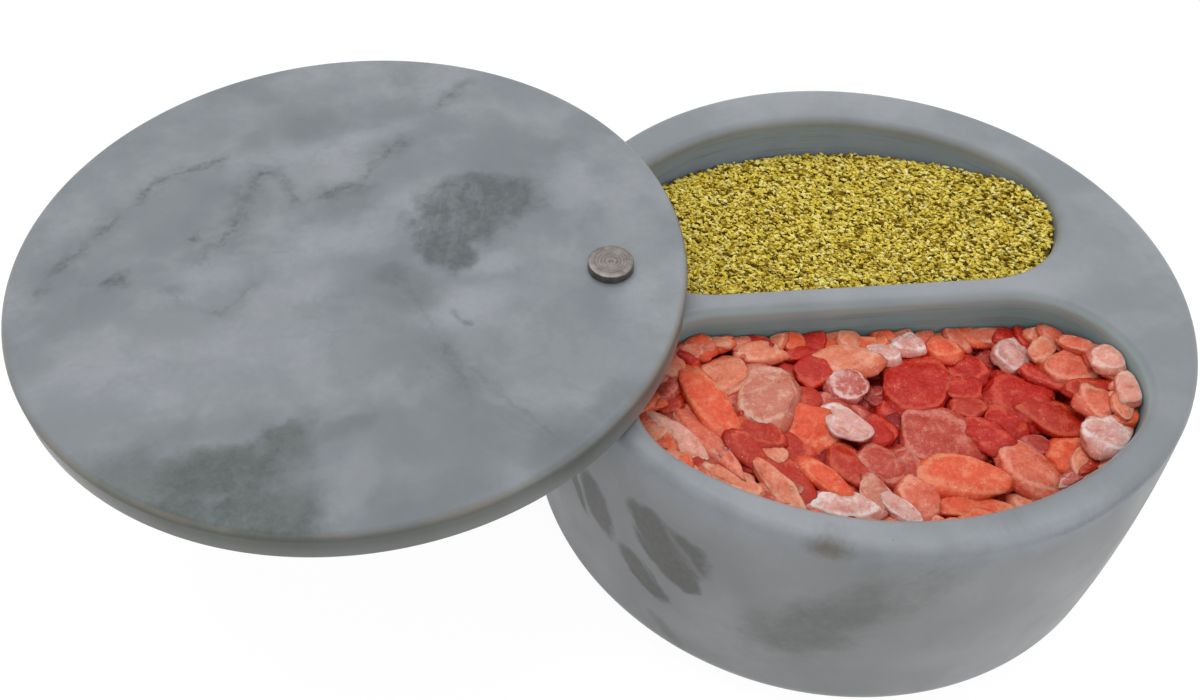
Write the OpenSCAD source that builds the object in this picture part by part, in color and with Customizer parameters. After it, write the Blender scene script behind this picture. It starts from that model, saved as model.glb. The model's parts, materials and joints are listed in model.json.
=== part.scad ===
// Round stone salt cellar: a two-pocket bowl under a flat lid that swings on a steel pin.
// Millimetres. The origin is the middle of the underside, where the pad meets the table.
// The pin stands on the -X side and the divider runs along X.

/* [Bowl] */
// Outside diameter at the rim
bowl_d = 124; // [110:1:150]
// How much wider the bowl is at its base, all round
bowl_flare = 1.5; // [0:0.1:4]
// How far the side swells beyond a straight line, at half height
bowl_swell = 0.8; // [0.2:0.1:2]
// Height of the stone from its underside to the rim
bowl_h = 55; // [45:0.5:75]
// Rounding of the outer edge of the rim
rim_r = 2.2; // [1:0.1:3]
// Rounding of the bottom edge
base_r = 7.2; // [4:0.1:10]

/* [Pockets] */
// Depth of both pockets below the rim
pocket_depth = 44; // [30:0.5:46]
// Rounding where the walls meet the floor
floor_r = 8; // [4:0.5:12]
// Soft rounding of the top edge of the walls
lip_r = 2; // [1:0.1:2.4]
// Thickness of the divider between its two walls
divider_t = 5.4; // [5:0.1:9]
// Middle of the divider, measured from the bowl's middle
divider_y = -3.8; // [-6:0.1:0]
// Middle of both pockets, measured along X from the bowl's middle
pockets_x = -1; // [-2:0.5:2]
// Rear pocket: thickness of the wall behind it, at the rim
rear_wall = 11.5; // [10:0.5:16]
// Rear pocket: radius of the long curved wall
rear_arc_r = 55.5; // [50:0.5:62]
// Rear pocket: radius of the two corners at the divider
rear_corner_r = 20; // [15:0.5:22]
// Front pocket: thickness of the wall before it, at the rim
front_wall = 7; // [7:0.5:16]
// Front pocket: radius of the long curved wall
front_arc_r = 60; // [52:0.5:64]
// Front pocket: radius of the two corners at the divider
front_corner_r = 19; // [15:0.5:22]

/* [Lid] */
// How far the lid stands out past the rim, all round
lid_over = 1.5; // [0:0.1:4]
// Thickness of the lid
lid_t = 6; // [5:0.5:9]
// Rounding of the lid's top edge
lid_top_r = 1.5; // [0.5:0.1:2.2]
// Rounding of the lid's bottom edge
lid_low_r = 0.6; // [0.3:0.1:1.2]
// How far the lid has been swung from closed, seen from above
lid_open = 170.5; // [0:0.5:350]

/* [Pivot] */
// Distance from the rim's outside to the middle of the pin
pin_inset = 13; // [10:0.5:14]
// Diameter of the pin's shank
pin_d = 5; // [4:0.1:5.6]
// Diameter of the pin's head
head_d = 8.6; // [7.8:0.1:11]
// Thickness of the pin's head
head_t = 1.7; // [1.2:0.1:3]
// How far the shank goes down into the stone
pin_depth = 20; // [12:0.5:24]
// Outside diameter of the lid's bushing
bushing_d = 6.6; // [6.6:0.1:7.2]
// Outside diameter of the sleeve that anchors the pin
sleeve_d = 8; // [7.5:0.1:10]
// Outside diameter of the spacer washer
washer_d = 13; // [9:0.5:16]
// Thickness of the spacer washer
washer_t = 0.5; // [0.3:0.1:1.2]

/* [Base pad] */
// Diameter of the non-slip pad
pad_d = 96; // [60:1:100]
// Thickness of the pad
pad_t = 1.6; // [1.2:0.1:3]
// Depth of the recess that the pad is glued into
pad_sink = 0.8; // [0.4:0.1:1]

/* [Hidden] */

// Clearances
running_gap = 0.05;     // round the pin inside the bushing
glue_gap = 0.03;        // round what is glued into stone
head_gap = 0.1;         // under the head, so that the lid is free
washer_gap = 0.15;      // round the pin inside the washer
pad_gap = 0.25;         // round the pad in its recess
over = 1;               // how far a cut runs past the face it opens

// Small features
pin_tip = 0.6;          // chamfer of the shank's end
sleeve_floor = 1.6;     // closed end of the sleeve under the shank
bore_spare = 0.8;       // glue space under the sleeve
barb_n = 5;             // rings that grip the sleeve
barb_pitch = 3;
barb_first = 3;         // from the shank's end up to the first ring
barb_w = 0.9;
barb_cut = 0.25;
head_chamfer = 0.28;
ring_n = 4;             // turned rings on the head
ring_first = 1.2;       // radius of the innermost ring
ring_pitch = 0.62;
ring_w = 0.3;
ring_cut = 0.07;
dimple_d = 0.9;         // centre mark left by the lathe
dimple_cut = 0.4;
pad_edge = 0.4;         // rounding of the pad's lower edge
bushing_chamfer = 0.3;
washer_edge = 0.1;

// Facets of the round stretches
edge_n = 8;
side_n = 6;
lip_n = 6;
floor_n = 6;
corner_n = 12;
arc_n = 20;
lip_start = 12;         // angle at which the lip leaves the rim, in degrees
round_n = 144;

// Widths and heights
bowl_r = bowl_d / 2;
bowl_base_r = bowl_r + bowl_flare;
lid_r = bowl_r + lid_over;
pivot_x = bowl_r - pin_inset;
stone_z = pad_t - pad_sink;
rim_z = stone_z + bowl_h;
lid_z = rim_z + washer_t;
lid_top = lid_z + lid_t;
head_z = lid_top + head_gap;
pin_low = rim_z - pin_depth;
bore_low = pin_low - sleeve_floor - bore_spare;

stone = [0.60, 0.63, 0.66];
steel = [0.46, 0.43, 0.41];
nylon = [0.90, 0.89, 0.84];
foam = [0.16, 0.16, 0.17];

// Points on an arc about (cx, cy) from angle a to angle b, in n steps
function arc(cx, cy, r, a, b, n) =
    [for (i = [0:n]) let (t = a + (b - a) * i / n) [cx + r * cos(t), cy + r * sin(t)]];

// Outside of the bowl: base rounding, swollen side and rim rounding
module bowl_outline() {
    low_x = bowl_base_r;
    low_y = stone_z + base_r;
    top_x = bowl_r;
    top_y = rim_z - rim_r;
    side = [for (i = [1:side_n - 1]) let (t = i / side_n)
        [low_x + (top_x - low_x) * t + bowl_swell * 4 * t * (1 - t), low_y + (top_y - low_y) * t]];
    polygon(concat(
        [[0, stone_z]],
        arc(low_x - base_r, low_y, base_r, -90, 0, edge_n),
        side,
        arc(top_x - rim_r, top_y, rim_r, 0, 90, edge_n),
        [[0, rim_z]]));
}

// One ring of a pocket's wall, drawn in by d. The straight side lies on y = 0,
// the long arc bulges towards +Y and reaches as far as `far`.
function pocket_ring(far, arc_r, corner_r, d, z) =
    let (arc_y = far - arc_r,
         corner_x = sqrt(pow(arc_r - corner_r, 2) - pow(corner_r - arc_y, 2)),
         meet = atan2(corner_r - arc_y, corner_x),
         right = arc(corner_x, corner_r, corner_r - d, -90, meet, corner_n),
         long = arc(0, arc_y, arc_r - d, meet, 180 - meet, arc_n),
         left = arc(-corner_x, corner_r, corner_r - d, 180 - meet, 270, corner_n))
    [for (p = concat(right, [for (i = [1:arc_n - 1]) long[i]], left)) [p[0], p[1], z]];

// Inset and height of each ring, from above the rim down to the floor
function pocket_steps() = concat(
    [[lip_r * (sin(lip_start) - 1), over]],
    [for (i = [0:lip_n]) let (t = lip_start + (90 - lip_start) * i / lip_n)
        [lip_r * (sin(t) - 1), lip_r * (cos(t) - 1)]],
    [for (i = [0:floor_n]) let (t = 90 * i / floor_n)
        [floor_r * (1 - cos(t)), floor_r * (1 - sin(t)) - pocket_depth]]);

// The hollow of one pocket, as a loft through its rings
module pocket(rim_wall, arc_r, corner_r, wall) {
    steps = pocket_steps();
    rings = [for (s = steps) pocket_ring(bowl_r - rim_wall - wall, arc_r, corner_r, s[0], rim_z + s[1])];
    n = len(rings[0]);
    m = len(rings);
    cap_top = [[for (i = [n - 1:-1:0]) i]];
    cap_low = [[for (i = [0:n - 1]) (m - 1) * n + i]];
    walls = [for (k = [0:m - 2], i = [0:n - 1]) let (j = (i + 1) % n)
        [k * n + i, k * n + j, (k + 1) * n + j, (k + 1) * n + i]];
    translate([pockets_x, wall, 0])
        polyhedron(points = [for (r = rings, p = r) p], faces = concat(cap_top, walls, cap_low));
}

// Moves what is drawn about the origin to the pin's axis
module at_pivot() {
    translate([-pivot_x, 0, 0])
        children();
}

// Turns what is drawn for the closed lid to where the lid has been swung
module swung() {
    at_pivot()
        rotate([0, 0, lid_open])
            translate([pivot_x, 0, 0])
                children();
}

// Tube between two heights, with an outer chamfer at both ends
module tube(d_out, d_in, low, high, chamfer) {
    ro = d_out / 2;
    ri = d_in / 2;
    rotate_extrude($fn = round_n)
        polygon([[ri, low], [ro - chamfer, low], [ro, low + chamfer],
            [ro, high - chamfer], [ro - chamfer, high], [ri, high]]);
}

module bowl() {
    color(stone)
        difference() {
            rotate_extrude($fn = round_n)
                bowl_outline();
            pocket(rear_wall, rear_arc_r, rear_corner_r, divider_y + divider_t / 2);
            mirror([0, 1, 0])
                pocket(front_wall, front_arc_r, front_corner_r, divider_t / 2 - divider_y);
            at_pivot()
                translate([0, 0, bore_low])
                    cylinder(d = sleeve_d + 2 * glue_gap, h = rim_z - bore_low + over, $fn = round_n);
            translate([0, 0, stone_z - over])
                cylinder(d = pad_d + 2 * pad_gap, h = pad_sink + over, $fn = round_n);
        }
}

module lid() {
    bore = bushing_d / 2 + glue_gap;
    color(stone)
        swung()
            difference() {
                rotate_extrude($fn = round_n)
                    polygon(concat(
                        [[0, lid_z]],
                        arc(lid_r - lid_low_r, lid_z + lid_low_r, lid_low_r, -90, 0, edge_n),
                        arc(lid_r - lid_top_r, lid_top - lid_top_r, lid_top_r, 0, 90, edge_n),
                        [[0, lid_top]]));
                at_pivot()
                    translate([0, 0, lid_z - over])
                        cylinder(r = bore, h = lid_t + 2 * over, $fn = round_n);
            }
}

// Turned pin: grip rings on the shank, a flat head with lathe rings and a centre mark
module pivot_pin() {
    pr = pin_d / 2;
    hr = head_d / 2;
    top = head_z + head_t;
    barbs = [for (i = [0:barb_n - 1], p = [0:2]) let (z = pin_low + barb_first + i * barb_pitch)
        [pr - (p == 1 ? barb_cut : 0), z + (p == 2 ? barb_w : 0)]];
    rings = [for (i = [ring_n - 1:-1:0], p = [0:2]) let (r = ring_first + i * ring_pitch)
        [r + ring_w * (1 - p) / 2, top - (p == 1 ? ring_cut : 0)]];
    color(steel)
        at_pivot()
            rotate_extrude($fn = round_n)
                polygon(concat(
                    [[0, pin_low], [pr - pin_tip, pin_low], [pr, pin_low + pin_tip]],
                    barbs,
                    [[pr, head_z], [hr - head_chamfer, head_z], [hr, head_z + head_chamfer],
                        [hr, top - head_chamfer], [hr - head_chamfer, top]],
                    rings,
                    [[dimple_d / 2, top], [0, top - dimple_cut]]));
}

module lid_bushing() {
    color(nylon)
        at_pivot()
            tube(bushing_d, pin_d + 2 * running_gap, lid_z, lid_top, bushing_chamfer);
}

module anchor_sleeve() {
    color(nylon)
        at_pivot()
            difference() {
                translate([0, 0, pin_low - sleeve_floor])
                    cylinder(d = sleeve_d, h = pin_depth + sleeve_floor, $fn = round_n);
                translate([0, 0, pin_low])
                    cylinder(d = pin_d + 2 * glue_gap, h = pin_depth + over, $fn = round_n);
            }
}

module spacer_washer() {
    color(nylon)
        at_pivot()
            tube(washer_d, pin_d + 2 * washer_gap, rim_z, lid_z, washer_edge);
}

module base_pad() {
    edge = pad_d / 2;
    color(foam)
        rotate_extrude($fn = round_n)
            polygon(concat(
                [[0, 0]],
                arc(edge - pad_edge, pad_edge, pad_edge, -90, 0, edge_n),
                [[edge, pad_t], [0, pad_t]]));
}

bowl();
lid();
pivot_pin();
lid_bushing();
anchor_sleeve();
spacer_washer();
base_pad();
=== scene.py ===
import json
import math

import bmesh
import bpy
import numpy as np
from mathutils import Matrix, Vector


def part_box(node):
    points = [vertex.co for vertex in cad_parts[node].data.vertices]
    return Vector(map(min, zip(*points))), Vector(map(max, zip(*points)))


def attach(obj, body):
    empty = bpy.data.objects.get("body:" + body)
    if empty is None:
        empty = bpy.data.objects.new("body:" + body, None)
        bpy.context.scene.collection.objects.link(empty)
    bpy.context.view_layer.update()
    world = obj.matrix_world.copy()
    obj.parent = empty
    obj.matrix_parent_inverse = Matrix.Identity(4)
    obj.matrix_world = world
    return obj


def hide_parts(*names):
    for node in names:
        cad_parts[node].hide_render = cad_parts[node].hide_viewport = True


# Stone salt cellar with a swing lid, as photographed: lid swung open, both pockets filled

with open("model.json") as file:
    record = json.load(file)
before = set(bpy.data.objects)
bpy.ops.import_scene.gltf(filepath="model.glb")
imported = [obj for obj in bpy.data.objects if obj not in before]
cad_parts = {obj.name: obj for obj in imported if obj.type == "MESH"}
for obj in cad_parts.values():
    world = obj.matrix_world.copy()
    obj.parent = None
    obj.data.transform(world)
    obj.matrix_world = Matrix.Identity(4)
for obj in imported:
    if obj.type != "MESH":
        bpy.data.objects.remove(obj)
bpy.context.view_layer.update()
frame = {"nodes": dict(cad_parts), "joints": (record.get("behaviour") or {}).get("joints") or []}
scene = bpy.context.scene
mm = 0.001
over = 1 * mm    # how far a cutter runs past the face it opens

bowlLow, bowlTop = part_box("bowl")
lidLow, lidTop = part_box("lid")
pinLow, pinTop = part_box("pivot_pin")
rimZ = bowlTop.z
pinX, pinY = frame["joints"][0]["pos_m"][:2]


def srgb(*colour):    # a screen colour, 0 to 255, as Blender wants it
    return tuple((v / 255 / 12.92) if v < 11 else ((v / 255 + 0.055) / 1.055) ** 2.4 for v in colour) + (1.0,)


# Camera, in the photograph's own terms

shot = {
    "wide": 1200,    # the photograph, in pixels
    "high": 700,
    "focal": 1135.0,    # focal length, in pixels
    "middle": (556.4, 399.2),    # where the lens axis meets the picture
    "down": 50.44,    # degrees below level
    "turn": -4.86,
    "roll": 0.14,
    "place": (-72.03 * mm, -152.32 * mm, 154.11 * mm),    # from the middle of the rim
    "film": 36.0,
}


def makeCamera():
    lens = bpy.data.cameras.new("shotLens")
    lens.sensor_width = shot["film"]
    lens.lens = shot["focal"] / shot["wide"] * shot["film"]
    lens.shift_x = (shot["wide"] / 2 - shot["middle"][0]) / shot["wide"]
    lens.shift_y = (shot["middle"][1] - shot["high"] / 2) / shot["wide"]
    lens.clip_start = 0.01
    camera = bpy.data.objects.new("shotCamera", lens)
    tilt = (Matrix.Rotation(math.radians(shot["turn"]), 4, "Z")
            @ Matrix.Rotation(math.radians(90 - shot["down"]), 4, "X")
            @ Matrix.Rotation(math.radians(shot["roll"]), 4, "Z"))
    spot = Vector(shot["place"]) + Vector((0, 0, rimZ))
    camera.matrix_world = Matrix.Translation(spot) @ tilt
    scene.collection.objects.link(camera)
    scene.camera = camera
    return camera.matrix_world.copy()


cameraPlace = makeCamera()
print("camera set")


def underPixel(px, py, height):    # where a pixel's line of sight meets a level
    ray = Vector((px - shot["middle"][0], shot["middle"][1] - py, -shot["focal"]))
    ray = cameraPlace.to_3x3() @ ray
    start = cameraPlace.translation
    return start + ray * ((height - start.z) / ray.z)


# Building node trees: each call adds one node and hands back its result

class Nodes:
    def __init__(self, tree):
        self.tree = tree
        tree.nodes.clear()

    def put(self, socket, value):
        if isinstance(value, bpy.types.NodeSocket):
            self.tree.links.new(value, socket)
        else:
            socket.default_value = value

    def add(self, kind, *values):    # a node, its first sockets filled in order
        node = self.tree.nodes.new("ShaderNode" + kind)
        for socket, value in zip(node.inputs, values):
            self.put(socket, value)
        return node

    def math(self, kind, *values, clamp=False):
        node = self.add("Math", *values)
        node.operation = kind
        node.use_clamp = clamp
        return node.outputs[0]

    def times(self, a, b):
        return self.math("MULTIPLY", a, b)

    def least(self, values):
        smallest = values[0]
        for value in values[1:]:
            smallest = self.math("MINIMUM", smallest, value)
        return smallest

    def vector(self, kind, *values, scale=None):
        node = self.add("VectorMath", *values)
        node.operation = kind
        if scale is not None:
            self.put(node.inputs["Scale"], scale)
        return node.outputs["Value" if kind in ("LENGTH", "DOT_PRODUCT") else "Vector"]

    def scaled(self, place, x, y, z):
        return self.vector("MULTIPLY", place, (x, y, z))

    def far(self, place, x=1, y=1, z=0):    # distance from the middle, each axis scaled
        return self.vector("LENGTH", self.scaled(place, x, y, z))

    def turned(self, place, degrees):
        node = self.add("VectorRotate", place)
        node.rotation_type = "Z_AXIS"
        node.inputs["Angle"].default_value = math.radians(degrees)
        return node.outputs[0]

    def parts(self, place):
        return self.add("SeparateXYZ", place).outputs[:]

    def mix(self, share, a, b, blend="MIX"):
        node = self.add("Mix", share)
        node.data_type = "RGBA"
        node.blend_type = blend
        self.put(node.inputs[6], a)
        self.put(node.inputs[7], b)
        return node.outputs[2]

    def noise(self, place, size, detail=3.0, rough=0.5, colour=False):
        node = self.add("TexNoise", place)
        node.inputs["Scale"].default_value = 1 / size
        node.inputs["Detail"].default_value = detail
        node.inputs["Roughness"].default_value = rough
        return node.outputs["Color" if colour else "Fac"]

    def cells(self, place, size):    # how far the nearest cell's middle is
        node = self.add("TexVoronoi", place)
        node.inputs["Scale"].default_value = 1 / size
        return node.outputs["Distance"]

    def step(self, value, start, end, low=0.0, high=1.0):    # soft step from start to end
        node = self.add("MapRange", value, start, end, low, high)
        node.interpolation_type = "SMOOTHSTEP"
        return node.outputs[0]

    def ramp(self, value, stops):
        node = self.add("ValToRGB", value)
        bar = node.color_ramp.elements
        while len(bar) < len(stops):
            bar.new(0.5)
        for element, (at, colour) in zip(bar, stops):
            element.position = at
            element.color = colour
        return node.outputs[0]

    def attribute(self, name, result="Fac"):
        node = self.add("Attribute")
        node.attribute_name = name
        return node.outputs[result]

    def bump(self, height, depth):    # depth in millimetres
        node = self.add("Bump")
        node.inputs["Strength"].default_value = 1.0
        node.inputs["Distance"].default_value = depth * mm
        self.put(node.inputs["Height"], height)
        return node.outputs[0]

    def shining(self, kind, strength):    # an even white light
        node = self.add(kind, (1, 1, 1, 1))
        node.inputs["Strength"].default_value = strength
        return node.outputs[0]

    def seenDirectly(self):    # 1 for rays from the camera, off a shine or through glass
        ray = self.add("LightPath").outputs
        share = self.math("ADD", ray["Is Camera Ray"], ray["Is Glossy Ray"])
        return self.math("ADD", share, ray["Is Transmission Ray"], clamp=True)


class Finish(Nodes):
    def __init__(self, name):
        self.material = bpy.data.materials.new(name)
        self.material.use_nodes = True
        super().__init__(self.material.node_tree)
        self.out = self.add("OutputMaterial")
        self.shader = self.add("BsdfPrincipled")
        self.put(self.out.inputs["Surface"], self.shader.outputs[0])
        where = self.add("TexCoord").outputs["Object"]
        self.place = self.vector("SCALE", where, scale=1 / mm)    # in millimetres

    def set(self, **sockets):
        for name, value in sockets.items():
            self.put(self.shader.inputs[name.replace("_", " ")], value)


# Marble: clouds, milky puffs, stains and smudged veins, all bent by one slow drift

stone = {    # what lid and bowl have alike, sizes in millimetres
    "drift": 9.0, "web": 0.1, "webReach": 26.0, "grain": 0.2, "relief": 0.02, "grainSize": 1.1,
    "pitSize": 2.6, "pitShade": 0.35, "pitDeep": 0.8, "wearSize": 14.0, "shakeSize": 3.6,
    "specular": 0.2, "subsurface": 0.06, "subsurfaceDeep": 0.002,
    "veinLeast": 0.7, "veinMost": 2.6, "halo": 0.55,    # a vein's widths and its halo's strength
}


def patch(f, local, spec):    # how much of one soft patch is here
    reach = []
    for x, y, long, short, turn in spec["blobs"]:
        at = f.turned(f.vector("SUBTRACT", local, (x, y, 0)), -turn)
        reach.append(f.far(at, 1 / long, 1 / short))
    rag = f.math("SUBTRACT", f.noise(local, spec["rag"], 6, 0.62), 0.5)
    far = f.math("ADD", f.least(reach), f.times(rag, spec.get("ragged", 1.2)))
    mask = f.step(far, 1.15, spec.get("core", 0.35))
    if "streaks" in spec:    # long thin marks inside the patch
        lean, long, thin, least = spec["streaks"]
        marks = f.noise(f.scaled(f.turned(local, -lean), 1 / long, 1 / thin, 0), 1.0, 4, 0.6)
        cut = 0.4 - spec.get("dense", 0)
        mask = f.times(mask, f.step(marks, cut, cut + 0.2, least, 1.0))
    if "mottle" in spec:    # paler crumbs inside it
        crumbs = f.noise(local, 1.6, 4, 0.7)
        mask = f.times(mask, f.step(crumbs, 0.62, 0.42, 1 - spec["mottle"], 1.0))
    return f.times(mask, spec["strength"])


def veinMask(f, local, path, width, halo, strength):    # smudged line through the given points
    reach = []
    for a, b in zip(path, path[1:]):
        a, b = Vector(a + (0,)), Vector(b + (0,))
        along = b - a
        at = f.scaled(f.vector("SUBTRACT", local, tuple(a)), 1, 1, 0)
        share = f.vector("DOT_PRODUCT", at, tuple(along / along.length_squared))
        share = f.math("MULTIPLY", share, 1.0, clamp=True)
        reach.append(f.vector("LENGTH", f.vector("SUBTRACT", at, f.vector("SCALE", tuple(along), scale=share))))
    nearest = f.least(reach)
    crumbs = f.step(f.noise(local, 1.2, 5, 0.7), 0.42, 0.6, 0.55, 1.0)
    wide = f.step(f.noise(local, 5.0, 3), 0.35, 0.65, width * stone["veinLeast"], width * stone["veinMost"])
    core = f.times(f.step(f.math("DIVIDE", nearest, wide), 1.0, 0.0), crumbs)
    blur = f.step(f.noise(local, 3.5, 4, 0.6), 0.4, 0.62, 0.25, 1.0)
    smudge = f.times(f.step(nearest, halo, 0.0), blur)
    both = f.math("MAXIMUM", f.times(core, strength), f.times(smudge, strength * stone["halo"]))
    return f.times(both, f.step(f.noise(local, 8.0, 3, 0.6), 0.36, 0.55, 0.3, 1.0))


def drifted(f, place, size, detail, rough, far):    # a place pulled aside by slow noise
    pull = f.vector("SUBTRACT", f.noise(f.place, size, detail, rough, colour=True), (0.5, 0.5, 0.5))
    return f.vector("ADD", place, f.vector("SCALE", pull, scale=far))


def marble(name, look):
    f = Finish(name)
    bent = drifted(f, f.place, look["driftSize"], 3, 0.55, stone["drift"])
    mark = drifted(f, look["across"](f), stone["shakeSize"], 4, 0.6, look["shake"])
    seeded = f.vector("ADD", bent, look["seed"])

    cloud = f.noise(seeded, look["cloudSize"], 5, 0.55)
    tone = f.mix(f.step(cloud, 0.36, 0.64), look["deep"], look["pale"])
    puff = f.noise(seeded, look["puffSize"], 6, 0.6)
    tone = f.mix(f.times(f.step(puff, 0.48, 0.7), look["milkiness"]), tone, look["milk"])
    for spec in look["patches"]:
        share = patch(f, mark, spec)
        if "gate" in look:
            share = f.times(share, look["gate"](f))
        tone = f.mix(share, tone, spec["colour"])
    web = f.math("ABSOLUTE", f.math("SUBTRACT", f.noise(bent, look["webSize"], 5, 0.55), 0.5))
    where = f.step(f.noise(f.vector("ADD", f.place, look["seed"]), stone["webReach"], 2), 0.5, 0.66)
    web = f.times(f.step(web, 0.05, 0.0), f.times(where, stone["web"]))
    tone = f.mix(web, tone, look["veinColour"])
    for row in look["veins"]:
        tone = f.mix(veinMask(f, mark, *row), tone, look["veinColour"])
    grain = f.noise(f.place, stone["grainSize"], 4, 0.7)
    tone = f.mix(f.step(grain, 0.3, 0.75, 0, stone["grain"]), tone, look["deep"])
    pits = f.step(f.cells(f.place, stone["pitSize"]), 0.16, 0.02)
    pits = f.times(pits, f.step(f.noise(f.place, 9.0, 2), 0.6, 0.72))
    tone = f.mix(f.times(pits, stone["pitShade"]), tone, look["veinColour"])
    # each look's own marks with its painted light and shade: the lid's side painted shade, the bowl's pockets
    # painted light
    tone = look["marksAndPaintedLight"](f, tone)

    wear = f.noise(f.place, stone["wearSize"], 4, 0.6)
    rough = f.step(wear, 0.3, 0.7, look["rough"] - 0.05, look["rough"] + 0.08)
    height = f.math("SUBTRACT", f.noise(f.place, 0.9, 5, 0.65), f.times(pits, stone["pitDeep"]))
    f.set(Base_Color=tone, Roughness=rough, Normal=f.bump(height, stone["relief"]))
    f.set(Specular_IOR_Level=stone["specular"], Subsurface_Weight=stone["subsurface"],
          Subsurface_Scale=stone["subsurfaceDeep"])
    return f.material


def flatAcross(f):    # the lid's figure runs straight down through the slab
    return f.scaled(f.place, 1, 1, 0)


def wallAcross(f):    # the bowl's is laid round the wall: along it, and up
    x, y, z = f.parts(f.place)
    return f.add("CombineXYZ", f.times(f.math("ARCTAN2", y, x), wallRadius), z, 0.0).outputs[0]


def outerWall(f):
    return f.step(f.far(f.place), 56.0, 60.0)


wallRadius = 63.0    # in millimetres, and so are the depths below
# sideHigh, sideLow and sideShare paint shade on the lid's side; smear and stain are marks on the stone
lidEdge = {
    "sideHigh": srgb(97, 98, 91), "sideLow": srgb(136, 138, 134), "smear": srgb(116, 116, 108),
    "stain": srgb(142, 134, 116), "sideShare": 0.74, "smearShare": 0.4, "stainShare": 0.45,
}
# front, rear, shoulder and bridge are painted light: lighter tints against the shade in the pockets and the
# coloured bounce of their fill, and a lighter divider top; marks are tool marks; wall tints the outer wall
bowlInside = {
    "front": srgb(120, 171, 173), "rear": srgb(140, 160, 190), "share": 0.6, "starts": 1.6, "full": 3.8,
    "shoulder": srgb(166, 198, 198), "shoulderShare": 0.6,
    "bridge": srgb(162, 166, 172), "bridgePlace": (16, -3.8, rimZ / mm), "bridgeShare": 0.6,
    "marks": srgb(104, 112, 106), "marksShare": 0.4,
    "wall": srgb(150, 148, 144), "wallShare": 0.4,
}


def lidShadeAndStain(f, tone):    # the side is painted darker, most just under the top edge and onto its rounding, as painted shade; the side smeared, its upper edge stained
    e = lidEdge
    z = f.parts(f.place)[2]
    top = lidTop.z / mm
    smear = f.noise(f.scaled(f.place, 0.06, 0.06, 0.5), 1.0, 4, 0.6)
    side = f.mix(f.step(z, top - 1.5, lidLow.z / mm), e["sideHigh"], e["sideLow"])
    side = f.mix(f.step(smear, 0.3, 0.7, 0, e["smearShare"]), side, e["smear"])
    # painted shade on the side and on the lower part of the top edge's rounding
    tone = f.mix(f.step(z, top - 0.06, top - 1.0, 0, e["sideShare"]), tone, side)
    line = f.times(f.step(z, top - 0.02, top - 0.3), f.step(z, top - 1.2, top - 0.5))
    return f.mix(f.times(line, f.step(smear, 0.4, 0.6, 0.1, e["stainShare"])), tone, e["stain"])


def bowlMarksAndPaintedLight(f, tone):    # tool marks; a greener cast inside the pockets, painted light that lightens their walls against shade and the fill's coloured bounce; the divider's shoulder and top painted lighter; the outer wall tinted from just below the rim
    b = bowlInside
    y, z = f.parts(f.place)[1:]
    rim = rimZ / mm
    out = f.far(f.place)
    inside = f.times(f.step(out, 59.0, 57.0), f.step(z, rim - b["starts"], rim - b["full"]))
    # painted light down the pocket walls: lighter, and tinted against the coloured bounce of the salt and the
    # seasoning
    paintedInsideLight = f.mix(f.step(y, -5, -2), b["front"], b["rear"])
    tone = f.mix(f.times(inside, b["share"]), tone, paintedInsideLight)
    # painted light: the front pocket's walls, in a band just under the rim, lightened and tinted against the salt's
    # pink bounce
    shoulder = f.times(f.step(z, rim - 0.3, rim - 1.4), f.step(z, rim - 4.5, rim - 2.0))
    shoulder = f.times(shoulder, f.step(out, 57.0, 55.0, 0, b["shoulderShare"]))
    tone = f.mix(f.times(shoulder, f.step(y, -3, -5.5)), tone, b["shoulder"])
    # painted light: a lighter patch along the divider's top
    bridge = f.far(f.vector("SUBTRACT", f.place, b["bridgePlace"]), 1 / 28, 1 / 5, 0.6)
    tone = f.mix(f.step(bridge, 1.3, 0.4, 0, b["bridgeShare"]), tone, b["bridge"])
    marks = f.noise(f.scaled(f.place, 0.05, 0.05, 1.1), 1.0, 5, 0.65)
    marks = f.times(f.step(marks, 0.48, 0.7), f.times(inside, b["marksShare"]))
    tone = f.mix(marks, tone, b["marks"])
    wall = f.times(outerWall(f), f.step(z, rim - 1.5, rim - 7, 0, b["wallShare"]))
    return f.mix(wall, tone, b["wall"])


def blot(blobs, colour, strength, rag, **more):
    # blobs are (x, y, half length, half width, lean) in millimetres and degrees, rag the crumbs' size
    return {"blobs": blobs, "colour": srgb(*colour), "strength": strength, "rag": rag, **more}


dark, green, grey, milky = (84, 92, 93), (80, 90, 87), (120, 127, 131), (158, 161, 171)

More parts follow.
